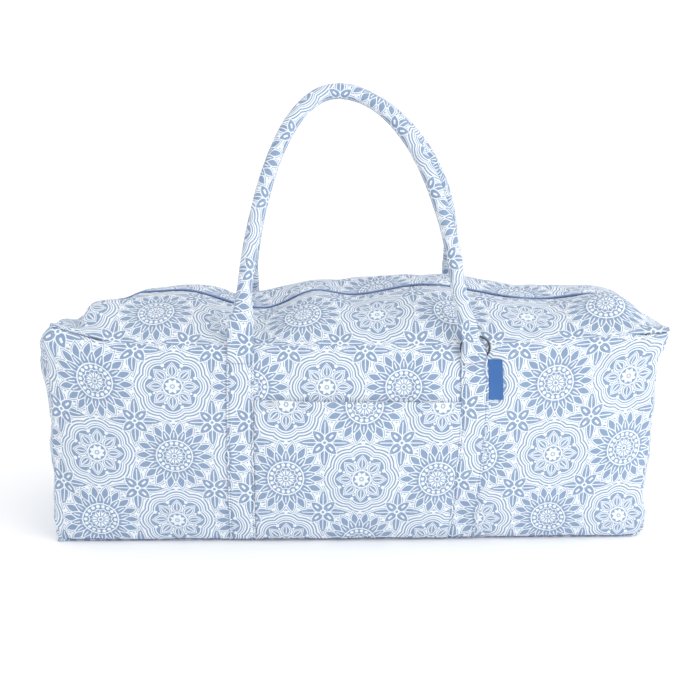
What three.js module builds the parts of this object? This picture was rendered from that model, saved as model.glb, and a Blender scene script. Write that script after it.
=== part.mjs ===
// A soft printed-cotton kit bag for a yoga mat: seven sewn panels round one hollow, a closed zip along
// the top, flat straps that run up the front and back and turn into two rolled carrying handles,
// a patch pocket between the front straps, a steel D-ring and a bare woven tag.
// Millimetres, +Z up, the front faces -Y, the origin is the middle of the base on the floor.
import * as THREE from "three";

// Driving dimensions
const length = 660; // between the end seams
const depth = 230; // between the front and back seams
const height = 243; // floor to the top corners at the right end
const wall = 1.6; // one layer of canvas with its seam allowance
const seamGap = 0.2; // each panel stops this far short of its seam line
const onSeam = 0.3; // places this near a seam line count as lying on it
const layerGap = 0.5; // between a sewn-on piece and the cloth under it

// How far the filled cloth swells past the flat box
const swell = {
  front: 15,
  back: 13,
  end: 9,
  squareness: 4, // how evenly the walls swell from seam to seam
  seamPush: 5, // the long top seams are pushed outwards in the middle
  leftShoulder: 21, // the left end puffs out just under its top seam
  shoulderHeight: 0.86, // share of the height
  shoulderSpan: 0.18, // share of the height
  shoulderDrop: 0.8, // share of the puff that is lost at the upright seams
  shoulderEase: 10, // how late it dies out towards the top seam
};

// How far the upright seams of the two ends stand out from the flat box, by share of the height
const endSeams = [
  { at: 0, left: 6.5, right: -3 },
  { at: 0.1, left: 6, right: -3.5 },
  { at: 0.2, left: 4.5, right: -9.5 },
  { at: 0.3, left: 3.5, right: -9 },
  { at: 0.42, left: 4.5, right: -6.5 },
  { at: 0.55, left: 2.5, right: -6 },
  { at: 0.68, left: 1.5, right: -5 },
  { at: 0.84, left: 1, right: -4 },
  { at: 0.92, left: 6, right: 5 },
  { at: 1, left: -1, right: 8.5 },
];
const topSeamSag = { depth: 18, leftPower: 8, rightPower: 3 }; // long top seams hang between the corners
const leftCorners = { front: 5, back: -11, power: 8 }; // how far these two top corners rise or drop
const domePower = { front: 2, back: 3.2 }; // how boxy the top is from seam to zip
const endReach = 6; // how close to the ends their swelling stays

// Crests and dips of the filled top along the zip: rise is over the top corners, lean is fore and aft
const zipLine = [
  { at: -330, rise: -11, lean: 0 },
  { at: -305, rise: -11, lean: 1 },
  { at: -272, rise: 10, lean: 2 },
  { at: -205, rise: 22, lean: 4 },
  { at: -108, rise: 3, lean: -8 },
  { at: -45, rise: 22, lean: 3 },
  { at: -5, rise: 18, lean: -3 },
  { at: 80, rise: 29, lean: 2 },
  { at: 210, rise: 13, lean: -4 },
  { at: 272, rise: 18, lean: 2 },
  { at: 330, rise: -2.5, lean: 0 },
];

// The two halves of the top stand higher than the zip by this much in their middles
const frontRise = [
  { at: -330, rise: 0 },
  { at: -312, rise: 0 },
  { at: -294, rise: 22 },
  { at: -250, rise: 5 },
  { at: -215, rise: 0 },
  { at: 215, rise: 0 },
  { at: 285, rise: 14 },
  { at: 330, rise: 0 },
];
const backRise = [
  { at: -330, rise: 0 },
  { at: -250, rise: 3 },
  { at: -188, rise: 0 },
  { at: -150, rise: 3 },
  { at: -97, rise: 13 },
  { at: -45, rise: 6 },
  { at: 3, rise: 14 },
  { at: 77, rise: 7 },
  { at: 138, rise: 10 },
  { at: 205, rise: 8.5 },
  { at: 270, rise: 2.5 },
  { at: 308, rise: 7 },
  { at: 330, rise: 0 },
];

// Main folds and dents: across is y on the top and z on the sides, turn is degrees from the x axis
const folds = {
  top: [
    { x: -290, across: -96, turn: -12, long: 42, wide: 10, deep: -7 }, // crease by the left corner
    { x: -122, across: -66, turn: 90, long: 34, wide: 24, deep: -4 }, // pressed by the left handle
    { x: 122, across: -70, turn: 90, long: 30, wide: 24, deep: -4 }, // pressed by the right handle
    { x: 285, across: -92, turn: 14, long: 40, wide: 12, deep: -5 }, // crease by the right corner
  ],
  front: [
    { x: -288, across: 186, turn: 58, long: 46, wide: 15, deep: -4 },
    { x: 292, across: 168, turn: -64, long: 60, wide: 16, deep: -5 },
    { x: 212, across: 60, turn: 20, long: 60, wide: 22, deep: -2.5 },
    { x: -205, across: 92, turn: -35, long: 60, wide: 24, deep: -2.5 },
  ],
};

// Sewn-on pieces
const strap = { width: 29, thick: 1.5, top: 221, bottom: 1.2 };
const strapMiddle = {
  left: { bottom: -125.5, top: -123.5, bow: 0 },
  right: { bottom: 117.5, top: 125.5, bow: 3.8 }, // bowed outwards above the middle
};
const sideGap = 0.3; // between pieces that lie edge to edge
const pocket = { height: 166, thick: 1.5, hem: 12, hemStep: 1.5, hemExtra: 0.9 };
const tag = { width: 15, height: 42, top: 210.5, thick: 1 };
const ring = { width: 33, height: 25, wire: 3, bar: 213.5, bowShare: 0.75, shift: 1, gap: 0.4 };
const zip = { slot: 2, rib: 1.65, tapeHalf: 9, tapeThick: 1, tapeGap: 0.8, ribSink: 0.3, endGap: 1 };
const slider = { nose: -284, length: 12, width: 9, taper: 0.75, tall: 4, lift: 0.2 };
const pull = { length: 22, width: 6 };

// Carrying handles: a flat tail on each strap, rolled into a round grip
const handle = {
  grip: 17, // diameter of the rolled part
  tailWidth: 28,
  tailThick: 3.2,
  tailFoot: 206, // the tails are sewn down to here
  tailGap: 0.4,
  ringRoom: 4, // the right front tail stands out over the D-ring
  ringLean: -4, // and leans over from the foot of the ring to its top
  ringWidth: 19, // where it is folded to this width
  tailBend: 258, // height and depth at which the tails bend in over the top seam
  bendIn: 11,
  springing: 280, // the arch starts here
  footLean: 101, // distance of the springing from the middle of the bag
  apexLean: 13, // the two grips lie side by side at the top
};

// The two arches: rise is springing to top, apexX is where the top is, left and right reach out from there,
// pointed is 1 for an ellipse, a bow pushes the lower half of a side out, or draws it in if negative,
// and the tails start to roll at one height and are round from another
const arches = [
  {
    name: "front_handle",
    facing: -1,
    rise: 212,
    apexX: -21,
    reach: { left: 99, right: 132 },
    pointed: 1.04,
    bow: { left: -7, right: -7 },
    roll: { start: 240, end: 282 },
  },
  {
    name: "back_handle",
    facing: 1,
    rise: 212,
    apexX: -20,
    reach: { left: 111, right: 138.5 },
    pointed: 1.06,
    bow: { left: -10, right: 8 },
    roll: { start: 226, end: 274 },
  },
];

// Grid lines of the cloth, and the step at which its slope is taken
const slopeStep = 0.004;
const columns = 24;
const rowsUp = 8;
const rowsDeep = 8;
const pocketColumns = 10;
const gripSides = 10;
const gripSteps = 54;
const archSteps = 16;
const wireSides = 6;
const wireSteps = 30;

const halfLength = length / 2;
const halfDepth = depth / 2;

const canvas = new THREE.MeshStandardMaterial({ color: 0xb9cde8, roughness: 0.9, metalness: 0 });
const zipBlue = new THREE.MeshStandardMaterial({ color: 0x6f8fc0, roughness: 0.7, metalness: 0 });
const tagBlue = new THREE.MeshStandardMaterial({ color: 0x2f6fb5, roughness: 0.8, metalness: 0 });
const steel = new THREE.MeshStandardMaterial({ color: 0x3f434b, roughness: 0.3, metalness: 1 });

// Value of one column of a crest-and-dip table at a place along it, level at every row
function along(table, key, place) {
  const i = Math.max(0, table.slice(0, -1).findLastIndex((row) => row.at <= place));
  const [from, to] = [table[i], table[i + 1]];
  return THREE.MathUtils.lerp(from[key], to[key], THREE.MathUtils.smoothstep(place, from.at, to.at));
}

// Sum of the folds of one face at a place on it
function foldAt(rows, x, across) {
  let sum = 0;
  for (const f of rows) {
    const turn = THREE.MathUtils.degToRad(f.turn);
    const [dx, dy] = [x - f.x, across - f.across];
    const run = (dx * Math.cos(turn) + dy * Math.sin(turn)) / f.long;
    const side = (dy * Math.cos(turn) - dx * Math.sin(turn)) / f.wide;
    sum += f.deep * Math.exp(-run * run - side * side);
  }
  return sum;
}

// The filled bag as a smooth bending of a plain box.
// a, b and c are the box's own coordinates: -1 to 1 along x, -1 to 1 along y, and 0 to 1 up.
function filled(a, b, c) {
  const x = a * halfLength;
  const y = b * halfDepth;
  const belly = Math.sin(Math.PI * c);

  const even = 1 - b ** swell.squareness;
  const shoulder = a < 0 ? Math.exp(-(((c - swell.shoulderHeight) / swell.shoulderSpan) ** 2)) : 0;
  const endOut =
    along(endSeams, a < 0 ? "left" : "right", c) +
    swell.end * even * belly +
    swell.leftShoulder * (1 - swell.shoulderDrop * (1 - even)) * shoulder * (1 - c ** swell.shoulderEase);

  const sideSwell = b < 0 ? swell.front : swell.back;
  const sideFold = b < 0 ? foldAt(folds.front, x, c * height) * belly : 0;
  const sideOut =
    sideSwell * (1 - a ** swell.squareness) * belly + swell.seamPush * (1 - a * a) * c + sideFold;

  const sagPower = a < 0 ? topSeamSag.leftPower : topSeamSag.rightPower;
  const sag = topSeamSag.depth * (1 - Math.abs(a) ** sagPower);
  const dome = Math.max(0, 1 - Math.abs(b) ** (b < 0 ? domePower.front : domePower.back));
  const corner = b < 0 ? -leftCorners.front * b : leftCorners.back * b * b;
  const atLeft = Math.max(0, -a) ** leftCorners.power;
  const beside = along(b < 0 ? frontRise : backRise, "rise", x) * Math.sin(Math.PI * b) ** 2;
  const up = (along(zipLine, "rise", x) + sag + foldAt(folds.top, x, y)) * dome - sag + beside;
  const lean = along(zipLine, "lean", x) * (1 - b * b) * c;

  return new THREE.Vector3(
    x + Math.sign(a) * Math.abs(Math.sin((Math.PI / 2) * a)) ** endReach * endOut,
    y + Math.sin((Math.PI / 2) * b) * sideOut + lean,
    c * (height + up + corner * atLeft),
  );
}

// Slope of the filled shape along one of the box's own coordinates, taken inside the box
function slope(at, index) {
  const [low, high] = [[...at], [...at]];
  low[index] = Math.max(index === 2 ? 0 : -1, at[index] - slopeStep);
  high[index] = Math.min(1, at[index] + slopeStep);
  return filled(...high).sub(filled(...low));
}

// Outward normals of the faces that a place on the box's surface belongs to: two on a seam, three at a corner
function normalsAt(a, b, c) {
  const at = [a, b, c];
  const normals = [];
  const face = (first, second, sign) => {
    normals.push(slope(at, first).cross(slope(at, second)).normalize().multiplyScalar(sign));
  };
  if (Math.abs(a) > 1 - onSeam / halfLength) face(1, 2, Math.sign(a));
  if (Math.abs(b) > 1 - onSeam / halfDepth) face(0, 2, -Math.sign(b));
  if (Math.abs(c - 0.5) > 0.5 - onSeam / height) face(0, 1, Math.sign(c - 0.5));
  return normals;
}

// The inner face of the cloth at a place on its outer face, mitred on seams and corners
function innerFace(a, b, c) {
  const normals = normalsAt(a, b, c);
  const inwards = normals[0].clone().multiplyScalar(-wall);
  if (normals.length === 2) {
    inwards.addScaledVector(normals[1], -wall).divideScalar(1 + normals[0].dot(normals[1]));
  } else if (normals.length === 3) {
    const rows = new THREE.Matrix3().set(...normals.flatMap((n) => n.toArray()));
    inwards.set(-wall, -wall, -wall).applyMatrix3(rows.invert());
  }
  return filled(a, b, c).add(inwards);
}

function steps(count, from, to) {
  return Array.from({ length: count + 1 }, (_, i) => THREE.MathUtils.lerp(from, to, i / count));
}

// Angles of a full turn
function around(sides) {
  return Array.from({ length: sides }, (_, i) => (i / sides) * Math.PI * 2);
}

// A closed geometry from points and triangles, turned so that its faces point out
function closed(points, triangles) {
  const volume = triangles.reduce(
    (sum, [i, j, k]) => sum + points[i].dot(new THREE.Vector3().crossVectors(points[j], points[k])),
    0,
  );
  const faces = volume < 0 ? triangles.map(([i, j, k]) => [i, k, j]) : triangles;
  const geometry = new THREE.BufferGeometry().setFromPoints(points);
  geometry.setIndex(faces.flat());
  geometry.computeVertexNormals();
  return geometry;
}

// A sheet of cloth: a grid on its outer face, the same grid on its inner face, and its cut edges
function sheet(us, vs, outer, inner) {
  const [nu, nv] = [us.length, vs.length];
  const points = [outer, inner].flatMap((face) => us.flatMap((u) => vs.map((v) => face(u, v))));
  const at = (face, i, j) => face * nu * nv + i * nv + j;
  const triangles = [];
  const quad = (p, q, r, s) => triangles.push([p, q, r], [p, r, s]);
  for (let i = 0; i < nu - 1; i++) {
    for (let j = 0; j < nv - 1; j++) {
      quad(at(0, i, j), at(0, i + 1, j), at(0, i + 1, j + 1), at(0, i, j + 1));
      quad(at(1, i, j), at(1, i, j + 1), at(1, i + 1, j + 1), at(1, i + 1, j));
    }
  }
  for (let i = 0; i < nu - 1; i++) {
    quad(at(0, i + 1, 0), at(0, i, 0), at(1, i, 0), at(1, i + 1, 0));
    quad(at(0, i, nv - 1), at(0, i + 1, nv - 1), at(1, i + 1, nv - 1), at(1, i, nv - 1));
  }
  for (let j = 0; j < nv - 1; j++) {
    quad(at(0, 0, j), at(0, 0, j + 1), at(1, 0, j + 1), at(1, 0, j));
    quad(at(0, nu - 1, j + 1), at(0, nu - 1, j), at(1, nu - 1, j), at(1, nu - 1, j + 1));
  }
  return closed(points, triangles);
}

// A skin through rings of points, closed into a loop or capped at both ends
function loft(rings, isLoop = false) {
  const sides = rings[0].length;
  const points = rings.flat();
  const triangles = [];
  const spans = isLoop ? rings.length : rings.length - 1;
  for (let i = 0; i < spans; i++) {
    const next = (i + 1) % rings.length;
    for (let k = 0; k < sides; k++) {
      const [p, q] = [i * sides + k, i * sides + ((k + 1) % sides)];
      const [r, s] = [next * sides + ((k + 1) % sides), next * sides + k];
      triangles.push([p, q, r], [p, r, s]);
    }
  }
  if (!isLoop) {
    const end = (rings.length - 1) * sides;
    for (const cap of THREE.ShapeUtils.triangulateShape(flat(rings[0]), [])) {
      triangles.push([cap[2], cap[1], cap[0]]);
    }
    for (const cap of THREE.ShapeUtils.triangulateShape(flat(rings.at(-1)), [])) {
      triangles.push(cap.map((k) => end + k));
    }
  }
  return closed(points, triangles);
}

// A flat ring of points laid into its own plane, counter-clockwise, to be cut into triangles
function flat(points) {
  const normal = new THREE.Vector3();
  points.forEach((p, i) => {
    const q = points[(i + 1) % points.length];
    normal.add(new THREE.Vector3().crossVectors(p, q));
  });
  const turn = new THREE.Quaternion().setFromUnitVectors(normal.normalize(), new THREE.Vector3(0, 0, 1));
  return points.map((p) => {
    const laid = p.clone().applyQuaternion(turn);
    return new THREE.Vector2(laid.x, laid.y);
  });
}

const bag = new THREE.Group();

function add(name, geometry, material) {
  const mesh = new THREE.Mesh(geometry, material);
  mesh.name = name;
  bag.add(mesh);
}

// The seven panels, mitred where they meet
function addPanels() {
  const gapA = seamGap / halfLength;
  const gapB = seamGap / halfDepth;
  const gapC = seamGap / height;
  const slot = zip.slot / halfDepth;
  const as = steps(columns, -1 + gapA, 1 - gapA);
  const bs = steps(rowsDeep, -1 + gapB, 1 - gapB);
  const cs = steps(rowsUp, gapC, 1 - gapC);
  const bsFront = steps(rowsDeep / 2, -1 + gapB, -slot);
  const bsBack = steps(rowsDeep / 2, slot, 1 - gapB);
  const panel = (name, us, vs, place) => {
    const outer = (u, v) => filled(...place(u, v));
    const inner = (u, v) => innerFace(...place(u, v));
    add(name, sheet(us, vs, outer, inner), canvas);
  };
  panel("front_panel", as, cs, (a, c) => [a, -1, c]);
  panel("back_panel", as, cs, (a, c) => [a, 1, c]);
  panel("base_panel", as, bs, (a, b) => [a, b, 0]);
  panel("left_end_panel", bs, cs, (b, c) => [-1, b, c]);
  panel("right_end_panel", bs, cs, (b, c) => [1, b, c]);
  panel("top_front_panel", as, bsFront, (a, b) => [a, b, 1]);
  panel("top_back_panel", as, bsBack, (a, b) => [a, b, 1]);
}

// Zip: teeth in the slot between the two top panels, on a tape under them
function addZip() {
  const under = wall + zip.tapeGap;
  const section = [
    { y: -zip.rib, sunk: zip.ribSink },
    { y: -zip.rib, sunk: under },
    { y: -zip.tapeHalf, sunk: under },
    { y: -zip.tapeHalf, sunk: under + zip.tapeThick },
    { y: zip.tapeHalf, sunk: under + zip.tapeThick },
    { y: zip.tapeHalf, sunk: under },
    { y: zip.rib, sunk: under },
    { y: zip.rib, sunk: zip.ribSink },
  ];
  const ends = 1 - (wall + zip.endGap) / halfLength;
  const lines = [-ends, ...steps(columns, -1, 1).slice(1, -1), ends];
  const sink = (a, p) => filled(a, p.y / halfDepth, 1).sub(new THREE.Vector3(0, 0, p.sunk));
  const rings = lines.map((a) => section.map((p) => sink(a, p)));
  add("zip", loft(rings), zipBlue);

  // Slider with its pull lying towards the left end, one plain piece
  const [bodyHalf, pullHalf] = [slider.width / 2, pull.width / 2];
  const pullEnd = -slider.length - pull.length;
  const upperHalf = [
    new THREE.Vector2(0, bodyHalf * slider.taper),
    new THREE.Vector2(-slider.length, bodyHalf),
    new THREE.Vector2(-slider.length, pullHalf),
    new THREE.Vector2(pullEnd, pullHalf * slider.taper),
  ];
  const lowerHalf = upperHalf.map((p) => new THREE.Vector2(p.x, -p.y)).reverse();
  const outline = new THREE.Shape([...upperHalf, ...lowerHalf]);
  const plate = new THREE.ExtrudeGeometry(outline, { depth: slider.tall, bevelEnabled: false });
  const nose = filled(slider.nose / halfLength, 0, 1);
  const tip = filled((slider.nose + pullEnd) / halfLength, 0, 1);
  plate.rotateY(-Math.atan2(nose.z - tip.z, nose.x - tip.x));
  plate.translate(nose.x, nose.y, nose.z + slider.lift);
  add("zip_slider", plate, steel);
}

// Middle line of a strap at a height
function strapX(side, z) {
  const { bottom, top, bow } = strapMiddle[side];
  const share = z / strap.top;
  return THREE.MathUtils.lerp(bottom, top, share) + bow * Math.sin(Math.PI * share * share);
}

// A thin piece sewn on the front or back: u and z run over it, and xAt turns them into x
function sewnOn(us, zs, xAt, facing, thick) {
  const place = (u, z, out) => {
    const a = xAt(u, z) / halfLength;
    const seam = filled(a, facing, 1).z;
    return filled(a, facing * (1 + out / halfDepth), z / seam);
  };
  return sheet(
    us,
    zs,
    (u, z) => place(u, z, layerGap + thick(z)),
    (u, z) => place(u, z, layerGap),
  );
}

function addStraps() {
  const across = steps(2, -strap.width / 2, strap.width / 2);
  const up = steps(rowsUp * 2, strap.bottom, strap.top);
  for (const [face, facing] of [["front", -1], ["back", 1]]) {
    for (const side of ["left", "right"]) {
      const band = sewnOn(across, up, (u, z) => strapX(side, z) + u, facing, () => strap.thick);
      add(`${face}_strap_${side}`, band, canvas);
    }
  }
}

// Patch pocket between the front straps, with a turned hem along its mouth
function addPocket() {
  const inner = strap.width / 2 + sideGap;
  const xAt = (u, z) => THREE.MathUtils.lerp(strapX("left", z) + inner, strapX("right", z) - inner, u);
  const hemFoot = pocket.height - pocket.hem;
  const up = [...steps(rowsUp, strap.bottom, hemFoot - pocket.hemStep), ...steps(1, hemFoot, pocket.height)];
  const thick = (z) => pocket.thick + (z >= hemFoot ? pocket.hemExtra : 0);
  add("front_pocket", sewnOn(steps(pocketColumns, 0, 1), up, xAt, -1, thick), canvas);
}

// Bare woven tag caught in the outer edge of the right front strap
function addTag() {
  const start = strap.width / 2 + sideGap;
  const up = steps(4, tag.top - tag.height, tag.top);
  const xAt = (u, z) => strapX("right", z) + start + u;
  add("label_tag", sewnOn(steps(2, 0, tag.width), up, xAt, -1, () => tag.thick), tagBlue);
}

// How far the face of a strap stands out from the middle of the bag at a height
function strapFace(side, facing, z) {
  const a = strapX(side, z) / halfLength;
  const seam = filled(a, facing, 1).z;
  return Math.abs(filled(a, facing, Math.min(z / seam, 1)).y) + layerGap + strap.thick;
}

// D-ring between the right front strap and the tail of the handle, bow upwards
function addRing() {
  const radius = ring.wire / 2;
  const half = ring.width / 2 - radius;
  const bow = ring.height - ring.wire;
  const straight = bow - half * ring.bowShare;
  const middle = strapX("right", ring.bar) + ring.shift;
  const line = new THREE.Path();
  line.moveTo(-half, 0);
  line.lineTo(half, 0);
  line.lineTo(half, straight);
  line.ellipse(-half, 0, half, bow - straight, 0, Math.PI, false);
  line.lineTo(-half, 0);
  const path = line.getSpacedPoints(wireSteps).slice(0, -1);
  const out = strapFace("right", -1, ring.bar) + ring.gap + radius;
  const rings = path.map((p, i) => {
    const before = path[(i + path.length - 1) % path.length];
    const after = path[(i + 1) % path.length];
    const run = after.clone().sub(before).normalize();
    return around(wireSides).map((turn) => {
      const side = radius * Math.cos(turn);
      return new THREE.Vector3(
        middle + p.x + run.y * side,
        -out + radius * Math.sin(turn),
        ring.bar + p.y - run.x * side,
      );
    });
  });
  add("d_ring", loft(rings, true), steel);
}

// Middle line of one carrying handle, from the left tail over the arch to the right tail
function handleLine({ facing, rise, apexX, reach, pointed, bow }) {
  const tail = (side) => {
    const overRing = facing < 0 && side === "right";
    const clear = overRing ? handle.ringRoom : handle.tailGap;
    const face = strapFace(side, facing, handle.tailFoot) + handle.tailThick / 2;
    const x = strapX(side, strap.top);
    const top = x + (overRing ? handle.ringLean : 0);
    const springX = apexX + (side === "left" ? -reach.left : reach.right);
    return [
      new THREE.Vector3(strapX(side, handle.tailFoot), facing * (face + handle.tailGap), handle.tailFoot),
      new THREE.Vector3(x, facing * (face + clear), ring.bar - ring.wire / 2),
      new THREE.Vector3((x + top) / 2, facing * (face + clear), ring.bar + ring.height / 2),
      new THREE.Vector3(top, facing * (face + clear), ring.bar + ring.height),
      new THREE.Vector3((top + springX) / 2, facing * (face + clear - handle.bendIn), handle.tailBend),
    ];
  };
  const arch = steps(archSteps, Math.PI, 0).map((turn) => {
    const [cos, sin] = [Math.cos(turn), Math.max(0, Math.sin(turn))];
    const side = cos < 0 ? "left" : "right";
    const bowed = bow[side] * Math.abs(Math.sin(2 * turn)) * cos * cos;
    const out = reach[side] * Math.abs(cos) ** pointed + bowed;
    const up = sin ** pointed;
    return new THREE.Vector3(
      apexX + Math.sign(cos) * out,
      facing * THREE.MathUtils.lerp(handle.footLean, handle.apexLean, up),
      handle.springing + rise * up,
    );
  });
  return new THREE.CatmullRomCurve3([...tail("left"), ...arch, ...tail("right").reverse()]);
}

function addHandles() {
  for (const arch of arches) {
    const { name, facing, roll } = arch;
    const rings = handleLine(arch).getSpacedPoints(gripSteps).map((p, i, all) => {
      const run = all[Math.min(i + 1, all.length - 1)].clone().sub(all[Math.max(i - 1, 0)]).normalize();
      const out = new THREE.Vector3(0, facing, 0).addScaledVector(run, -facing * run.y).normalize();
      const across = new THREE.Vector3().crossVectors(run, out);
      const rolled = THREE.MathUtils.smoothstep(p.z, roll.start, roll.end);
      const overRing = facing < 0 && i > gripSteps / 2;
      const fold = overRing ? THREE.MathUtils.smoothstep(p.z, ring.bar, ring.bar + ring.height) : 0;
      const flatWidth = THREE.MathUtils.lerp(handle.tailWidth, handle.ringWidth, fold);
      const halfWide = THREE.MathUtils.lerp(flatWidth, handle.grip, rolled) / 2;
      const halfThick = THREE.MathUtils.lerp(handle.tailThick, handle.grip, rolled) / 2;
      return around(gripSides).map((turn) =>
        p
          .clone()
          .addScaledVector(across, halfWide * Math.cos(turn))
          .addScaledVector(out, halfThick * Math.sin(turn)),
      );
    });
    add(name, loft(rings), canvas);
  }
}

addPanels();
addZip();
addStraps();
addPocket();
addTag();
addRing();
addHandles();

export default bag;
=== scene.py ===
import math

import bpy
import numpy as np
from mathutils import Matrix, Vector, noise
from mathutils.bvhtree import BVHTree


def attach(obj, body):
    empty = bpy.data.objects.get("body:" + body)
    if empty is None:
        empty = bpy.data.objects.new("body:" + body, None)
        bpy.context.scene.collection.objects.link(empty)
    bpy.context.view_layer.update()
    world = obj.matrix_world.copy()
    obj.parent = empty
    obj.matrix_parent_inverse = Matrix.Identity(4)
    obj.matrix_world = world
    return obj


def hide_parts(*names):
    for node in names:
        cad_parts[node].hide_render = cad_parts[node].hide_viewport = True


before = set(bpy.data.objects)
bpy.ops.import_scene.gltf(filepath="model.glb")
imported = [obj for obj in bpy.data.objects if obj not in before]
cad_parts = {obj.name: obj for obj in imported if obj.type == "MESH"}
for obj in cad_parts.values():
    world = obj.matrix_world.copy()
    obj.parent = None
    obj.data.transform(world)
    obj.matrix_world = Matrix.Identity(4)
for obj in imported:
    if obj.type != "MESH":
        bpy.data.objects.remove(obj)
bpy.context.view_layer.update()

mm = 0.001
tiny = 1e-6
scene = bpy.context.scene


# Small tools

def pickOnly(piece):
    bpy.ops.object.select_all(action="DESELECT")
    piece.select_set(True)
    bpy.context.view_layer.objects.active = piece


def startWith(name, add, **settings):  # a new primitive, with nothing else selected
    bpy.ops.object.select_all(action="DESELECT")
    add(**settings)
    piece = bpy.context.object
    piece.name = name
    return piece


def getPoints(piece):
    points = np.empty(len(piece.data.vertices) * 3)
    piece.data.vertices.foreach_get("co", points)
    return points.reshape(-1, 3)


def setPoints(piece, points):
    piece.data.vertices.foreach_set("co", np.asarray(points, dtype=np.float32).ravel())
    piece.data.update()


def getNormals(piece):
    normals = np.empty(len(piece.data.vertices) * 3)
    piece.data.vertex_normals.foreach_get("vector", normals)
    return normals.reshape(-1, 3)


def finishWith(piece, kind, **settings):  # adds a modifier and applies it
    pickOnly(piece)
    modifier = piece.modifiers.new(kind.lower(), kind)
    for name, value in settings.items():
        setattr(modifier, name, value)
    bpy.ops.object.modifier_apply(modifier=modifier.name)


def cutAlong(piece, axis, cuts):  # subdivides the edges that run along one axis
    points = getPoints(piece)
    ends = np.empty(len(piece.data.edges) * 2, dtype=np.int32)
    piece.data.edges.foreach_get("vertices", ends)
    run = np.abs(np.diff(points[ends.reshape(-1, 2)], axis=1)[:, 0])
    pickOnly(piece)
    bpy.context.tool_settings.mesh_select_mode = (False, True, False)
    piece.data.vertices.foreach_set("select", np.zeros(len(points), dtype=bool))
    piece.data.polygons.foreach_set("select", np.zeros(len(piece.data.polygons), dtype=bool))
    piece.data.edges.foreach_set("select", run[:, axis] > tiny)
    bpy.ops.object.mode_set(mode="EDIT")
    bpy.ops.mesh.subdivide(number_cuts=cuts)
    bpy.ops.object.mode_set(mode="OBJECT")


def cornersOf(piece):  # the vertex at each face corner
    corners = np.empty(len(piece.data.loops), dtype=np.int32)
    piece.data.loops.foreach_get("vertex_index", corners)
    return corners


def setPrint(piece, places):  # flat place of each face corner on the cloth, millimetres, as its UV map
    layer = piece.data.uv_layers.new(name="cloth")
    layer.data.foreach_set("uv", np.asarray(places * mm, dtype=np.float32).ravel())


def faceOutwards(piece):
    pickOnly(piece)
    bpy.ops.object.mode_set(mode="EDIT")
    bpy.ops.mesh.select_all(action="SELECT")
    bpy.ops.mesh.normals_make_consistent(inside=False)
    bpy.ops.object.mode_set(mode="OBJECT")


def smooth(piece):
    piece.data.polygons.foreach_set("use_smooth", np.ones(len(piece.data.polygons), dtype=bool))
    piece.data.update()


def dress(piece, material, slotName, *nodes):
    piece.data.materials.clear()
    piece.data.materials.append(material)
    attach(piece, "root")
    if nodes:
        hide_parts(*nodes)


def ripple(points, size, shift=0.0):  # smooth noise from -1 to 1, the same on every run
    return np.array([noise.noise(Vector((p[0] / size + shift, p[1] / size, p[2] / size))) for p in points])


def ease(t):
    t = np.clip(t, 0, 1)
    return t * t * (3 - 2 * t)


def bell(distance, wide):  # 1 at no distance, fading out over the width
    return np.exp(-((distance / wide) ** 2))


def unit(vectors):
    return vectors / np.linalg.norm(vectors, axis=1, keepdims=True)


def runAlong(path):  # distance covered at each point of a path
    return np.concatenate([[0], np.cumsum(np.linalg.norm(np.diff(path, axis=0), axis=1))])


def along(rows, column, x):  # value of a column at x, level at every row
    xs = np.array([row[0] for row in rows], dtype=float)
    values = np.array([row[column] for row in rows], dtype=float)
    i = np.clip(np.searchsorted(xs, x, side="right") - 1, 0, len(rows) - 2)
    return values[i] + (values[i + 1] - values[i]) * ease((x - xs[i]) / (xs[i + 1] - xs[i]))


def surfaceOf(piece):
    points = getPoints(piece)
    faces = [tuple(face.vertices) for face in piece.data.polygons]
    return BVHTree.FromPolygons([Vector(p) for p in points], faces)


# Materials

class Field:  # a number that varies over the cloth, worked out by math nodes
    tree = None

    def __init__(self, socket):
        self.socket = socket

    @staticmethod
    def calc(kind, *values, clamp=False):
        node = Field.tree.nodes.new("ShaderNodeMath")
        node.operation = kind
        node.use_clamp = clamp
        for entry, value in zip(node.inputs, values):
            if isinstance(value, Field):
                Field.tree.links.new(value.socket, entry)
            else:
                entry.default_value = value
        return Field(node.outputs[0])

    def __add__(self, other):
        return Field.calc("ADD", self, other)

    def __sub__(self, other):
        return Field.calc("SUBTRACT", self, other)

    def __rsub__(self, other):
        return Field.calc("SUBTRACT", other, self)

    def __mul__(self, other):
        return Field.calc("MULTIPLY", self, other)


def size(field):
    return Field.calc("ABSOLUTE", field)


def wrapped(field):  # into -0.5 to 0.5
    return Field.calc("WRAP", field, 0.5, -0.5)


def inside(field, soft=0.45):  # 1 where the distance is positive, with a soft edge in millimetres
    return Field.calc("MULTIPLY_ADD", field, 1 / soft, 0.5, clamp=True)


def over(below, layer, mask):
    return Field.calc("MULTIPLY_ADD", layer - below, mask, below)


def bands(field, *edges):  # ink between each pair of distances
    total = None
    for low, high in zip(edges[::2], edges[1::2]):
        part = inside((high - low) / 2 - size(field - (low + high) / 2))
        total = part if total is None else Field.calc("MAXIMUM", total, part)
    return total


def polar(x, y):
    far = Field.calc("SQRT", Field.calc("MULTIPLY_ADD", x, x, y * y))
    return far, Field.calc("ARCTAN2", y, x) * (1 / (2 * math.pi))


def sector(turn, count, shift=0.0):
    return wrapped(Field.calc("MULTIPLY_ADD", turn, count, shift))


# distance inside a ring of petals, and across one
def petals(far, turn, count, start, end, half, tip, shift=0.0):
    side = size(sector(turn, count, shift)) * (far * (2 * math.pi / count))
    run = Field.calc("MULTIPLY_ADD", far, 1 / (end - start), -start / (end - start), clamp=True)
    bulge = Field.calc("SINE", Field.calc("POWER", run, tip) * math.pi)
    return Field.calc("MULTIPLY_ADD", bulge, half, 0.0 - side), side


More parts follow.
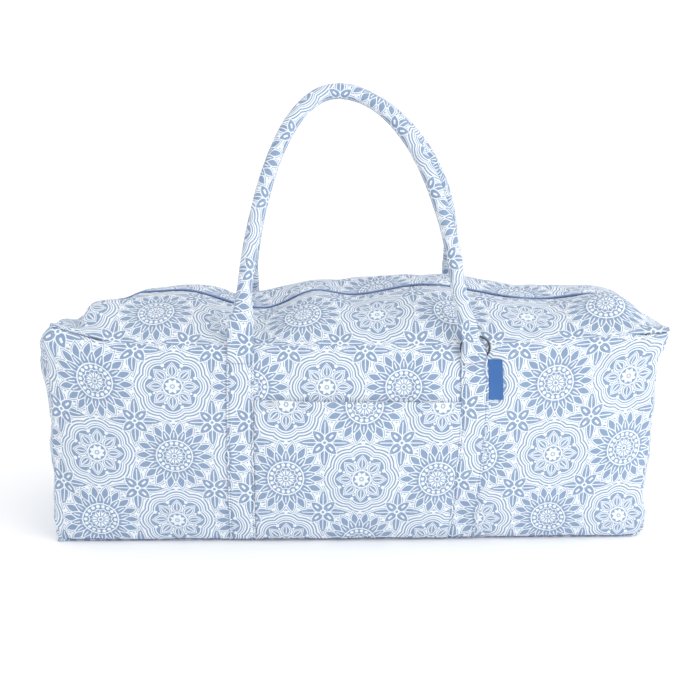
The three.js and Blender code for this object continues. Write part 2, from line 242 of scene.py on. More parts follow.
def beads(far, turn, count, middle, radius, shift=0.0):
    side = sector(turn, count, shift) * (far * (2 * math.pi / count))
    gap = far - middle
    return radius - Field.calc("SQRT", Field.calc("MULTIPLY_ADD", side, side, gap * gap))


def newMaterial(name):
    material = bpy.data.materials.new(name)
    material.use_nodes = True
    Field.tree = material.node_tree
    return material, material.node_tree, material.node_tree.nodes["Principled BSDF"]


def noiseAt(tree, coords, scale, detail=2.0):
    node = tree.nodes.new("ShaderNodeTexNoise")
    node.inputs["Scale"].default_value = scale
    node.inputs["Detail"].default_value = detail
    tree.links.new(coords, node.inputs["Vector"])
    return Field(node.outputs["Fac"])


def mixTones(tree, mask, low, high):
    node = tree.nodes.new("ShaderNodeMix")
    node.data_type = "RGBA"
    tree.links.new(mask.socket, node.inputs["Factor"])
    for entry, tone in ((node.inputs[6], low), (node.inputs[7], high)):
        if isinstance(tone, bpy.types.NodeSocket):
            tree.links.new(tone, entry)
        else:
            entry.default_value = (*tone, 1.0)
    return node.outputs[2]


def addBump(tree, shader, height, strength, distance):
    node = tree.nodes.new("ShaderNodeBump")
    node.inputs["Strength"].default_value = strength
    node.inputs["Distance"].default_value = distance
    tree.links.new(height.socket, node.inputs["Height"])
    tree.links.new(node.outputs["Normal"], shader.inputs["Normal"])


clothPrint = {
    "repeat": 82.0,  # millimetres between neighbouring medallions
    "drawnAt": 92.0,  # repeat that the motifs below are drawn for
    "echo": 4.0,  # between the lines that fill the ground, as drawn
    "ink": (0.200, 0.284, 0.428),
    "paleInk": (0.234, 0.320, 0.458),
    "ground": (0.724, 0.780, 0.835),
    "warmGround": (0.742, 0.772, 0.805),
    "thread": 0.9,  # millimetres between threads of the weave
}


def sunMedallion(ink, x, y):
    far, turn = polar(x, y)
    outer, _ = petals(far, turn, 18, 25, 50, 7.8, 0.9)
    ink = over(ink, bands(outer, 1.5, 2.5, 4.0, 9.0), inside(outer))
    ink = over(ink, 0.0, inside(beads(far, turn, 18, 46.0, 2.2, 0.5)))
    middle, side = petals(far, turn, 18, 16, 39, 5.3, 0.8, 0.5)
    ink = over(ink, bands(middle, 1.4, 9.0), inside(middle))
    ink = over(ink, 0.0, inside(0.7 - side) * inside(33.0 - far) * inside(far - 25.0))
    ink = over(ink, bands(far, 0.0, 20.8), inside(22.4 - far))
    ink = over(ink, 0.0, inside(beads(far, turn, 18, 17.9, 2.2)))
    edge = Field.calc("COSINE", turn * (2 * math.pi * 12)) * 0.9 + far
    ink = over(ink, 0.0, inside(0.7 - size(edge - 13.6)))
    leaf, side = petals(far, turn, 12, 3.6, 12.4, 2.6, 0.9)
    ink = over(ink, bands(side, -0.6, 0.6), inside(leaf))
    return over(ink, bands(far, 0.0, 1.9), inside(3.4 - far))


def rosette(ink, far, turn, rim):
    ink = over(ink, bands(rim, 1.6, 3.2, 4.8, 60.0), inside(rim))
    petal, side = petals(far, turn, 8, 11.0, 31.0, 7.6, 0.8)
    ink = over(ink, bands(petal, 1.4, 2.4, 3.8, 9.0), inside(petal))
    ink = over(ink, 0.0, inside(0.7 - side) * inside(26.0 - far) * inside(far - 15.0))
    ink = over(ink, 0.0, inside(beads(far, turn, 8, 28.6, 2.2, 0.5)))
    ink = over(ink, 0.0, inside(beads(far, turn, 8, 23.4, 1.5, 0.5)))
    ink = over(ink, bands(far, 0.0, 10.4), inside(12.0 - far))
    leaf, _ = petals(far, turn, 8, 2.4, 9.8, 2.5, 0.9, 0.5)
    ink = over(ink, 0.0, inside(leaf))
    return over(ink, 0.0, inside(1.6 - far))


def crossFlower(ink, x, y):
    far, turn = polar(x, y)
    leaf, side = petals(far, turn, 4, 3.0, 42.0, 8.4, 0.62)
    ink = over(ink, bands(leaf, 1.5, 2.5, 3.9, 9.0), inside(leaf))
    ink = over(ink, 0.0, inside(0.6 - side) * inside(26.0 - far))
    petal, side = petals(far, turn, 4, 1.5, 22.0, 6.8, 0.8, 0.5)
    ink = over(ink, bands(petal, 1.5, 9.0), inside(petal))
    ink = over(ink, 0.0, inside(1.3 - side) * inside(14.0 - far) * inside(far - 8.0))
    return over(ink, bands(far, 0.0, 1.8), inside(3.8 - far))


def makeCanvas(name):
    material, tree, shader = newMaterial(name)
    uvMap = tree.nodes.new("ShaderNodeUVMap")
    uvMap.uv_map = "cloth"
    split = tree.nodes.new("ShaderNodeSeparateXYZ")
    tree.links.new(uvMap.outputs["UV"], split.inputs["Vector"])
    step, echo = clothPrint["drawnAt"], clothPrint["echo"]
    scale = step / clothPrint["repeat"]
    x, y = Field(split.outputs["X"]) * (scale / mm), Field(split.outputs["Y"]) * (scale / mm)
    p, m = (x + y) * (0.5 / step), (x - y) * (0.5 / step)
    sunP, sunM = wrapped(p), wrapped(m)
    roseP, roseM = wrapped(p + 0.5), wrapped(m + 0.5)
    crossX, crossY = wrapped(x * (1 / step) + 0.5) * step, wrapped(y * (1 / step) + 0.5) * step
    far, turn = polar((roseP + roseM) * step, (roseP - roseM) * step)
    lobes = size(Field.calc("COSINE", turn * (2 * math.pi * 4)))
    rim = Field.calc("MULTIPLY_ADD", lobes, 4.2, 33.0) - far
    ink = inside(0.95 - size(wrapped(rim * (1 / echo))) * echo)
    ink = crossFlower(ink, crossX, crossY)
    ink = rosette(ink, far, turn, rim)
    ink = sunMedallion(ink, (sunP + sunM) * step, (sunP - sunM) * step)

    metres = tree.nodes.new("ShaderNodeTexCoord").outputs["Object"]
    drift = noiseAt(tree, metres, 9.0)
    grain = noiseAt(tree, metres, 900.0, 1.0)
    worn = Field.calc("MULTIPLY_ADD", grain, 0.36, 0.82)
    inkTone = mixTones(tree, drift, clothPrint["ink"], clothPrint["paleInk"])
    groundTone = mixTones(tree, drift, clothPrint["ground"], clothPrint["warmGround"])
    tree.links.new(mixTones(tree, ink * worn, groundTone, inkTone), shader.inputs["Base Color"])

    pitch = 2 * math.pi / (clothPrint["thread"] * scale)
    weave = Field.calc("SINE", x * pitch) * Field.calc("SINE", y * pitch)
    addBump(tree, shader, weave + grain, 0.25, 0.0004)
    tree.links.new(Field.calc("MULTIPLY_ADD", grain, 0.12, 0.84).socket, shader.inputs["Roughness"])
    shader.inputs["Specular IOR Level"].default_value = 0.2
    shader.inputs["Sheen Weight"].default_value = 0.12
    shader.inputs["Sheen Roughness"].default_value = 0.6
    return material


def makeWoven(name, low, high, pitch, roughness, sheen):  # plain woven tape, ribbon or thread
    material, tree, shader = newMaterial(name)
    metres = tree.nodes.new("ShaderNodeTexCoord").outputs["Object"]
    split = tree.nodes.new("ShaderNodeSeparateXYZ")
    tree.links.new(metres, split.inputs["Vector"])
    x, y, z = (Field(split.outputs[axis]) for axis in "XYZ")
    turn = 2 * math.pi / (pitch * mm)
    rib = Field.calc("SINE", (x + y) * turn) * Field.calc("SINE", (z + y) * turn)
    drift = noiseAt(tree, metres, 60.0)
    mask = Field.calc("MULTIPLY_ADD", rib, 0.25, drift, clamp=True)
    tree.links.new(mixTones(tree, mask, low, high), shader.inputs["Base Color"])
    addBump(tree, shader, rib, 0.3, 0.0003)
    tree.links.new(Field.calc("MULTIPLY_ADD", drift, 0.15, roughness).socket, shader.inputs["Roughness"])
    shader.inputs["Sheen Weight"].default_value = sheen
    return material


def makeSteel(name):
    material, tree, shader = newMaterial(name)
    metres = tree.nodes.new("ShaderNodeTexCoord").outputs["Object"]
    drift, scratch = noiseAt(tree, metres, 120.0), noiseAt(tree, metres, 2500.0, 1.0)
    tone = mixTones(tree, drift, (0.055, 0.058, 0.066), (0.100, 0.104, 0.115))
    tree.links.new(tone, shader.inputs["Base Color"])
    tree.links.new(Field.calc("MULTIPLY_ADD", scratch, 0.2, 0.22).socket, shader.inputs["Roughness"])
    addBump(tree, shader, scratch, 0.08, 0.0002)
    shader.inputs["Metallic"].default_value = 1.0
    return material


canvas = makeCanvas("printedCanvas")
tapeCloth = makeWoven("zipTapeCloth", (0.080, 0.135, 0.300), (0.130, 0.205, 0.400), 1.2, 0.75, 0.1)
nylon = makeWoven("zipNylon", (0.195, 0.285, 0.540), (0.235, 0.335, 0.600), 0.6, 0.5, 0.0)
tagSatin = makeWoven("tagRibbon", (0.018, 0.098, 0.315), (0.030, 0.135, 0.380), 0.8, 0.5, 0.1)
# dark navy thread: partly the thread's own colour, partly painted shade of the needle holes, the raised strap
# edges and the shadow line under the base
threadAndShade = makeWoven("sewingThread", (0.060, 0.095, 0.230), (0.100, 0.145, 0.300), 0.5, 0.8, 0.1)
paleCotton = makeWoven("paleThread", (0.560, 0.590, 0.640), (0.700, 0.710, 0.730), 0.5, 0.8, 0.1)
steel = makeSteel("ringSteel")
print("materials made")


# The filled bag as a bending of a plain box, millimetres

bagForm = {
    "length": 660.0,
    "depth": 230.0,
    "height": 243.0,
    "swell": {"front": 15.0, "back": 13.0, "end": 9.0},
    "squareness": 4.0,
    "seamPush": 5.0,
    # how far the upright seams stand out: share of the height, left end, right end
    "endSeams": [
        (0, 6.5, -3), (0.1, 6, -3.5), (0.2, 4.5, -9.5), (0.3, 3.5, -9), (0.42, 4.5, -6.5),
        (0.55, 2.5, -6), (0.68, 1.5, -5), (0.84, 1, -4), (0.92, 6, 5), (1, -1, 8.5),
    ],
    "shoulder": {"out": 21.0, "height": 0.86, "span": 0.18, "drop": 0.8, "ease": 10.0},
    "topSag": {"depth": 18.0, "left": 8.0, "right": 3.0},
    "leftCorners": {"front": 5.0, "back": -11.0, "power": 8.0},  # these rise or drop
    "domePower": {"front": 2.0, "back": 3.2},
    "endReach": 6.0,
    # along the zip: x, rise over the corners, lean fore and aft
    "zipLine": [
        (-330, -11, 0), (-305, -11, 1), (-277, 11, 2), (-247, 20, 3), (-205, 22, 4), (-108, 3, -8),
        (-45, 22, 3), (-5, 18, -3), (80, 29, 2), (210, 13, -4), (272, 18, 2), (330, -2.5, 0),
    ],
    # before and behind the zip the top stands higher: x, rise
    "frontRise": [
        (-330, 6.5), (-312, 1), (-297, 22), (-278, 12), (-250, 1), (-215, 0), (215, 0), (285, 14), (330, 0),
    ],
    "backRise": [
        (-330, 0), (-285, -9), (-262, -8), (-240, -3), (-205, 0), (-150, 3), (-97, 13), (-45, 6), (3, 14),
        (77, 7), (138, 10), (205, 8.5), (270, 2.5), (308, 7), (330, 0),
    ],
    # folds: x, across, turn in degrees, long, wide, deep
    "topFolds": [
        (-290, -96, -12, 42, 10, -7), (-122, -66, 90, 34, 24, -4),
        (122, -70, 90, 30, 24, -4), (285, -92, 14, 40, 12, -5),
    ],
    "frontFolds": [
        (-288, 186, 58, 46, 15, -4), (292, 168, -64, 60, 16, -5),
        (212, 60, 20, 60, 22, -2.5), (-205, 92, -35, 60, 24, -2.5),
    ],
}
halfLength = bagForm["length"] / 2
halfDepth = bagForm["depth"] / 2


def foldAt(rows, x, across):
    total = np.zeros_like(x)
    for atX, atAcross, turn, reach, wide, deep in rows:
        c, s = math.cos(math.radians(turn)), math.sin(math.radians(turn))
        dx, dy = x - atX, across - atAcross
        total += deep * np.exp(-(((dx * c + dy * s) / reach) ** 2) - ((dy * c - dx * s) / wide) ** 2)
    return total


def filled(a, b, c):  # box coordinates: a and b from -1 to 1, c from 0 to 1 upwards
    a, b, c = (np.asarray(v, dtype=float) for v in np.broadcast_arrays(a, b, c))
    x, y = a * halfLength, b * halfDepth
    belly = np.sin(np.pi * c)
    puff, sagging = bagForm["shoulder"], bagForm["topSag"]
    shoulder = np.where(a < 0, np.exp(-(((c - puff["height"]) / puff["span"]) ** 2)), 0)
    endOut = np.where(a < 0, along(bagForm["endSeams"], 1, c), along(bagForm["endSeams"], 2, c))
    endOut = endOut + bagForm["swell"]["end"] * (1 - b**4) * belly
    endOut = endOut + puff["out"] * (1 - puff["drop"] * b**4) * shoulder * (1 - c ** puff["ease"])
    sideOut = np.where(b < 0, bagForm["swell"]["front"], bagForm["swell"]["back"])
    sideOut = sideOut * (1 - a ** bagForm["squareness"]) * belly + bagForm["seamPush"] * (1 - a * a) * c
    sideOut = sideOut + np.where(b < 0, foldAt(bagForm["frontFolds"], x, c * bagForm["height"]) * belly, 0)
    sag = sagging["depth"] * (1 - np.abs(a) ** np.where(a < 0, sagging["left"], sagging["right"]))
    power = np.where(b < 0, bagForm["domePower"]["front"], bagForm["domePower"]["back"])
    dome = np.maximum(0, 1 - np.abs(b) ** power)
    up = (along(bagForm["zipLine"], 1, x) + sag + foldAt(bagForm["topFolds"], x, y)) * dome - sag
    corners = bagForm["leftCorners"]
    corner = np.where(b < 0, -corners["front"] * b, corners["back"] * b**2)
    up = up + corner * np.maximum(0, -a) ** corners["power"]
    beside = np.where(b < 0, along(bagForm["frontRise"], 1, x), along(bagForm["backRise"], 1, x))
    up = up + beside * np.sin(np.pi * b) ** 2
    lean = along(bagForm["zipLine"], 2, x) * (1 - b * b) * c
    return np.stack([
        x + np.sign(a) * np.abs(np.sin(np.pi / 2 * a)) ** bagForm["endReach"] * endOut,
        y + np.sin(np.pi / 2 * b) * sideOut + lean,
        c * (bagForm["height"] + up),
    ], axis=-1)


# Cloth shell: all panels as one closed bag, swollen by simulation, then parted at the seams

shellCloth = {
    "cuts": (119, 39, 35),
    "crowding": [(-0.55, 1), (0.5, 2), (0.5, 2)],  # share and waves: grid lines are closer near the seams
    "slot": 2.3,  # half the gap over the zip
    "slotEnds": (285.0, 305.0, 0.4),  # it closes between these distances from the middle, to this
    "wall": 1.6,
    "wrinkle": 0.9,
    "crumple": [(46.0, 1.0, 0.0), (23.0, 0.6, 7.0)],  # size, share and shift of the wrinkles
    "frames": 20,
    "canvas": {  # cloth settings of the simulation
        "quality": 5, "mass": 0.3, "tension_stiffness": 15, "compression_stiffness": 15,
        "shear_stiffness": 5, "bending_stiffness": 0.6, "pin_stiffness": 1.0, "shrink_min": -0.02,
        "use_pressure": True, "uniform_pressure_force": 3.0,
    },
    "seamHold": 7.0,  # the simulation leaves the seams and the top beside the zip where they are
    "zipHold": 9.0,
    "leastHold": 0.06,
    "cap": 5.0,  # furthest that it may move the walls, and the top
    "capTop": 1.6,
    # seams: two faces, groove depth, groove radius, pucker
    "seams": [
        ("front", "top", 1.2, 4.0, 0.5), ("back", "top", 1.2, 4.0, 0.5),
        ("front", "base", 0.0, 6.0, 0.7), ("back", "base", 0.0, 6.0, 0.7),
        ("left", "top", 1.8, 5.0, 0.6), ("right", "top", 1.8, 5.0, 0.6),
        ("left", "base", 0.0, 6.0, 0.7), ("right", "base", 0.0, 6.0, 0.7),
        ("left", "front", 1.8, 5.0, 0.7), ("right", "front", 1.8, 5.0, 0.7),
        ("left", "back", 1.8, 5.0, 0.7), ("right", "back", 1.8, 5.0, 0.7),
    ],
    "seamLine": 0.01,  # nearer than this is on the seam itself
    "puckerReach": 16.0,
    "puckerSize": 11.0,
    "lowCorner": (6.0, 16.0),  # the lower corners are rounded: depth and radius
    # the lower edge rolls under, more at the right end, and at the front it stands forward at the left
    "rollUnder": {"in": 3.6, "rightMore": 1.2, "up": 1.0, "high": 11.0, "across": 24.0},
    "heel": {"forward": 7.0, "high": 60.0},
    # the top front seam is creased deeper near its ends: from, to, depth, width
    "creases": [(-360.0, -264.0, 8.5, 2.6), (290.0, 376.0, 9.5, 2.6)],
    "creaseFade": 0.6,
    "overhang": {"out": 3.0, "up": 1.6, "at": 6.0, "wide": 5.0},  # the top hangs over the creases
    "earSeam": {"x": -304.0, "wide": 26.0, "up": 5.0, "reach": 22.0},  # the left crease runs higher
    "lips": (1.0, 5.0),  # the edges over the zip turn down: depth and radius
}
# panels: node, the two box axes that the print follows with their signs, and where the print starts
panelCuts = {
    "front": ("front_panel", (0, 1), (2, 1), (31.0, 8.0)),
    "back": ("back_panel", (0, -1), (2, 1), (74.0, 22.0)),
    "base": ("base_panel", (0, 1), (1, 1), (12.0, 40.0)),
    "left": ("left_end_panel", (1, -1), (2, 1), (50.0, 63.0)),
    "right": ("right_end_panel", (1, 1), (2, 1), (5.0, 30.0)),
    "topFront": ("top_front_panel", (0, 1), (1, 1), (58.0, 71.0)),
    "topBack": ("top_back_panel", (0, 1), (1, 1), (58.0, 71.0)),
}


def crowd(t, share, waves):
    return t - share * np.sin(waves * np.pi * t) / (waves * np.pi)


def makeShell():
    shell = startWith("bagShell", bpy.ops.mesh.primitive_cube_add, size=2, calc_uvs=False)
    for axis, cuts in enumerate(shellCloth["cuts"]):
        cutAlong(shell, axis, cuts)
    box = getPoints(shell)
    for axis, (share, waves) in enumerate(shellCloth["crowding"]):
        box[:, axis] = crowd(box[:, axis], share, waves)
    ys = np.unique(np.round(box[:, 1], 6))
    lip = ys[ys > 1e-4][0]
    near, far, shut = shellCloth["slotEnds"]
    closing = ease((np.abs(box[:, 0]) * halfLength - near) / (far - near))
    slot = (shellCloth["slot"] + (shut - shellCloth["slot"]) * closing) / halfDepth
    box[:, 1] = np.where(np.abs(np.abs(box[:, 1]) - lip) < 1e-4, np.sign(box[:, 1]) * slot, box[:, 1])
    return shell, box


def partFaces(shell, box):  # one material slot for each panel and one for the gap over the zip
    names = [*panelCuts, "zipGap"]
    for name in names:
        shell.data.materials.append(bpy.data.materials.new("cut." + name))
    flat = box * np.array([halfLength, halfDepth, bagForm["height"] / 2])
    corners = cornersOf(shell)
    places = np.zeros((len(corners), 2))
    slots = np.zeros(len(shell.data.polygons), dtype=np.int32)
    for face in shell.data.polygons:
        loops = list(face.loop_indices)
        own = box[corners[loops]]
        middle = own.mean(axis=0)
        axis = int(np.argmin(np.ptp(own, axis=0) + 9 * (np.abs(middle) < 1 - tiny)))  # side of the box
        if axis == 0:
            name = "left" if middle[0] < 0 else "right"
        elif axis == 1:
            name = "front" if middle[1] < 0 else "back"
        elif middle[2] < 0:
            name = "base"
        elif abs(middle[1]) * halfDepth < 0.75 * shellCloth["slot"]:  # between the lips
            name = "zipGap"
        else:
            name = "topFront" if middle[1] < 0 else "topBack"
        slots[face.index] = names.index(name)
        if name != "zipGap":
            _, (u, uSign), (v, vSign), start = panelCuts[name]
            places[loops, 0] = uSign * flat[corners[loops], u] + start[0]
            places[loops, 1] = vSign * flat[corners[loops], v] + start[1]
    shell.data.polygons.foreach_set("material_index", slots)
    setPrint(shell, places)


def seamDistances(box):  # millimetres to each seam
    planes = {
        "left": (1 + box[:, 0]) * halfLength,
        "right": (1 - box[:, 0]) * halfLength,
        "front": (1 + box[:, 1]) * halfDepth,
        "back": (1 - box[:, 1]) * halfDepth,
        "base": (1 + box[:, 2]) * bagForm["height"] / 2,
        "top": (1 - box[:, 2]) * bagForm["height"] / 2,
    }
    return [np.hypot(planes[first], planes[second]) for first, second, *_ in shellCloth["seams"]]


def settleShell(shell, held, caps):
    group = shell.vertex_groups.new(name="held")
    for index, weight in enumerate(held):
        group.add([index], float(weight), "REPLACE")
    before = getPoints(shell)
    pickOnly(shell)
    cloth = shell.modifiers.new("settle", "CLOTH")
    for name, value in shellCloth["canvas"].items():
        setattr(cloth.settings, name, value)
    cloth.settings.vertex_group_mass = "held"
    cloth.settings.effector_weights.gravity = 0
    cloth.point_cache.frame_start = 1
    cloth.point_cache.frame_end = shellCloth["frames"]
    for step in range(1, shellCloth["frames"] + 1):
        scene.frame_set(step)
    bpy.ops.object.modifier_apply(modifier="settle")
    scene.frame_set(1)
    moved = getPoints(shell) - before
    far = np.linalg.norm(moved, axis=1, keepdims=True)
    caps = caps[:, None] * mm
    setPoints(shell, before + moved * caps * np.tanh(far / caps) / np.maximum(far, 1e-9))
    print(f"cloth settled, moved {far.mean() / mm:.2f} mm on average, at most {far.max() / mm:.2f}")
    shell.vertex_groups.clear()


def swellShell(shell, box, gaps):  # bent to the filled form, wrinkled, then settled by simulation
    points = filled(box[:, 0], box[:, 1], (box[:, 2] + 1) / 2)
    setPoints(shell, points * mm)
    onTop, onBase = box[:, 2] > 1 - tiny, box[:, 2] < tiny - 1
    onSeam = np.max([bell(gap, shellCloth["seamHold"]) for gap in gaps], axis=0)
    crumple = sum(share * ripple(points, wide, shift) for wide, share, shift in shellCloth["crumple"])
    wrinkles = shellCloth["wrinkle"] * crumple * ((1 - onSeam) * ~onBase)
    setPoints(shell, (points + getNormals(shell) * wrinkles[:, None]) * mm)
    nearZip = np.exp(-((box[:, 1] * halfDepth / shellCloth["zipHold"]) ** 4)) * onTop
    least = np.full(len(box), shellCloth["leastHold"])
    held = np.clip(np.maximum.reduce([onSeam, nearZip, onBase, least]), 0, 1)
    settleShell(shell, held, np.where(onTop, shellCloth["capTop"], shellCloth["cap"]))


def creaseShell(shell, box, gaps):  # seam grooves, puckers, creases, the lips of the zip and the lower edge
    points = getPoints(shell) / mm
    onTop, onBase = box[:, 2] > 1 - tiny, box[:, 2] < tiny - 1
    x, frontTop = box[:, 0] * halfLength, gaps[0]
    endGap, sideGap = (1 - np.abs(box[:, 0])) * halfLength, (1 - np.abs(box[:, 1])) * halfDepth
    baseGap = (1 + box[:, 2]) * bagForm["height"] / 2
    depths, pucker, hanging = np.zeros(len(points)), np.zeros(len(points)), np.zeros(len(points))
    for (_, _, deep, radius, shake), gap in zip(shellCloth["seams"], gaps):
        depths += deep * bell(gap, radius)
        nearSeam = bell(gap, shellCloth["puckerReach"]) * (gap > shellCloth["seamLine"])
        pucker = np.maximum(pucker, shake * nearSeam)
    deep, radius = shellCloth["lowCorner"]
    depths += deep * np.exp(-(endGap**2 + sideGap**2 + baseGap**2) / radius**2)
    deep, radius = shellCloth["lips"]
    depths += deep * bell(np.abs(box[:, 1]) * halfDepth - shellCloth["slot"], radius) * onTop
    hang, ear, heel, under = (shellCloth[part] for part in ("overhang", "earSeam", "heel", "rollUnder"))
    for start, end, deep, wide in shellCloth["creases"]:
        run = np.sin(np.pi * np.clip((x - start) / (end - start), 0, 1)) ** shellCloth["creaseFade"]
        depths += deep * run * bell(frontTop, wide)
        hanging += run * bell(frontTop - hang["at"], hang["wide"])
    hanging *= onTop * (frontTop > shellCloth["seamLine"])
    shake = pucker * ripple(points, shellCloth["puckerSize"], 3.0)
    moved = points + getNormals(shell) * np.where(onBase, 0, shake - depths)[:, None]
    moved += hanging[:, None] * np.array([0, -hang["out"], hang["up"]])
    moved[:, 2] += ear["up"] * bell(x - ear["x"], ear["wide"]) * bell(frontTop, ear["reach"])
    moved[:, 1] += heel["forward"] * box[:, 0] * (1 - box[:, 1]) / 2 * bell(baseGap, heel["high"])
    low = np.maximum(0, 1 - baseGap / under["high"]) ** 2
    nearEnd, nearSide = (np.maximum(0, 1 - gap / under["across"]) ** 2 for gap in (endGap, sideGap))
    inwards = under["in"] * low * np.where(box[:, 0] > 0, 1 + under["rightMore"] * nearEnd, 1)
    moved[:, 0] -= np.sign(box[:, 0]) * inwards * nearEnd
    moved[:, 1] -= np.sign(box[:, 1]) * inwards * nearSide
    moved[:, 2] = np.maximum(moved[:, 2], 0) + under["up"] * low * np.maximum(nearEnd, nearSide)
    setPoints(shell, moved * mm)


def partShell(shell):  # one object for each panel, given its wall
    pickOnly(shell)
    bpy.ops.object.mode_set(mode="EDIT")
    bpy.ops.mesh.select_all(action="SELECT")
    bpy.ops.mesh.separate(type="MATERIAL")
    bpy.ops.object.mode_set(mode="OBJECT")
    panels = {}
    for piece in list(bpy.context.selected_objects):
        part = piece.material_slots[piece.data.polygons[0].material_index].material.name.split(".")[1]
        if part == "zipGap":
            bpy.data.objects.remove(piece)
        else:
            panels[part] = piece
    for part, piece in panels.items():
        piece.name = part + "Cloth"
        piece.data.polygons.foreach_set("material_index", np.zeros(len(piece.data.polygons), dtype=np.int32))
        finishWith(piece, "SUBSURF", levels=1, render_levels=1, boundary_smooth="PRESERVE_CORNERS")
        finishWith(piece, "SOLIDIFY", thickness=shellCloth["wall"] * mm, offset=-1)
        setPoints(piece, np.maximum(getPoints(piece), (-np.inf, -np.inf, 0)))  # nothing dips below the floor
        smooth(piece)
        dress(piece, canvas, "printed_canvas", panelCuts[part][0])
    return panels


shell, box = makeShell()
partFaces(shell, box)
seamGaps = seamDistances(box)
swellShell(shell, box, seamGaps)
creaseShell(shell, box, seamGaps)
panels = partShell(shell)
print("shell parted into", len(panels), "panels")

sideName = {-1: "front", 1: "back"}  # which way a piece faces
faceOf = {facing: surfaceOf(panels[name]) for facing, name in sideName.items()}
farOff = 0.5  # metres, well outside the bag


def seenAt(surface, x, z, facing):  # place and normal of a surface at a spot seen from the front or back
    return surface.ray_cast(Vector((x * mm, facing * farOff, z * mm)), Vector((0, -facing, 0)))[:2]


def standOn(surface, x, z, facing):  # how far out the surface is at each spot, millimetres
    outs = []
    for px, pz in zip(np.ravel(x), np.ravel(z)):
        hit = seenAt(surface, px, pz, facing)[0]
        if hit is None:
            hit = surface.find_nearest(Vector((px * mm, facing * halfDepth * mm, pz * mm)))[0]
        outs.append(facing * hit.y / mm)
    return np.array(outs).reshape(np.shape(x))


def patchOn(name, grid, extent, printAt, place, thick):  # a grid laid on the bag, then given its thickness
    add = bpy.ops.mesh.primitive_grid_add
    piece = startWith(name, add, x_subdivisions=grid[0], y_subdivisions=grid[1], size=2, calc_uvs=False)
    share = (getPoints(piece)[:, :2] + 1) / 2
    setPrint(piece, (share * np.array(extent) + np.array(printAt))[cornersOf(piece)])
    setPoints(piece, place(share[:, 0], share[:, 1]) * mm)
    finishWith(piece, "SOLIDIFY", thickness=thick * mm, offset=-1)
    smooth(piece)
    return piece


def waveOver(wave, x, z=0.0):  # small waves of a cloth piece
    return wave["deep"] * ripple(np.stack([x, z + 0 * x, 0 * x], axis=1), wave["size"], wave["shift"])


# Straps sewn up the front and back, in one length with the handles

strapBands = {
    "width": 29.0,
    "bottom": 1.2,
    "top": 221.0,
    "left": (-125.5, -123.5, 0.0),  # middle at the bottom and at the top, and how far it bows out between
    "right": (117.5, 125.5, 3.8),
    "thick": 1.1,
    "lift": 1.5,
    "sewnIn": 2.6,  # stitch line from each edge
    "sewnDeep": 0.75,
    "sewnWide": 1.3,
    "wave": {"deep": 0.25, "size": 9.0, "shift": 5.0},
    "grid": (24, 96),
}


def strapX(side, z):
    low, high, bow = strapBands[side]
    share = z / strapBands["top"]
    return low + (high - low) * share + bow * np.sin(np.pi * share**2)


# Line of the rolled handles: up from a strap, over the arch and down to the other strap

carryHandles = {
    "grip": 17.0,
    "tailWidth": 29.0,
    "tailThick": 1.8,
    "tailFoot": 206.0,
    "tailGap": 0.2,
    "tailEdge": 8.0,  # how square the flat tail's edges are
    "ringRoom": 3.6,
    "ringFoot": 214.0,
    "ringTop": 238.5,
    "tailLean": {(-1, "right"): -4.0, (1, "left"): -8.0, (1, "right"): -9.0},  # sideways above the straps
    "ringWidth": 19.0,  # over the ring the tail is folded narrower
    "tailBend": 258.0,
    "bendIn": 11.0,
    "bendAt": {-1: 0.5, 1: 1.0},  # the tails bend this share of the way from strap to arch
    "roll": {-1: (240.0, 282.0), 1: (206.0, 248.0)},  # the tails start to roll, and are round
    "springing": 280.0,
    "footLean": 101.0,
    "apexLean": 13.0,
    "rise": 212.0,
    "arches": {  # middle, reach to each side, pointedness and how far the two legs bow
        -1: {"apexX": -21.0, "left": 99.0, "right": 132.0, "pointed": 1.04, "bows": (-7.0, -7.0)},
        1: {"apexX": -20.0, "left": 111.0, "right": 138.5, "pointed": 1.06, "bows": (-10.0, 8.0)},
    },
    "archKnots": 17,
    "steps": 190,
    "sides": 32,
    "crease": {"deep": 0.45, "along": 0.15, "around": 1.3, "small": 0.45, "share": 0.5, "shift": 4.0},
    "fold": {"deep": 1.7, "wide": 2.4, "left": 241.0, "right": 250.0},  # over the top seam
    "kink": {"at": 300.0, "deep": 1.0, "wide": 2.4},  # crease in the right front roll
    "seam": {"deep": 0.8, "wide": 0.02},  # closing seam on the hidden side of the roll
    "printAt": {-1: (31.5, 60.0), 1: (80.0, 25.0)},
}


def throughPoints(knots, steps):  # evenly spaced points on a smooth line through the knots
    at = np.concatenate([[0], np.cumsum(np.sqrt(np.linalg.norm(np.diff(knots, axis=0), axis=1)))])
    slopes = np.gradient(knots, at, axis=0)
    fine = np.linspace(0, at[-1], 2000)
    i = np.clip(np.searchsorted(at, fine, side="right") - 1, 0, len(at) - 2)
    span = (at[i + 1] - at[i])[:, None]
    t = (fine - at[i])[:, None] / span
    line = (2 * t**3 - 3 * t**2 + 1) * knots[i] + (t**3 - 2 * t**2 + t) * span * slopes[i]
    line = line + (3 * t**2 - 2 * t**3) * knots[i + 1] + (t**3 - t**2) * span * slopes[i + 1]
    far = runAlong(line)
    even = np.linspace(0, far[-1], steps + 1)
    return np.stack([np.interp(even, far, line[:, k]) for k in range(3)], axis=1), even


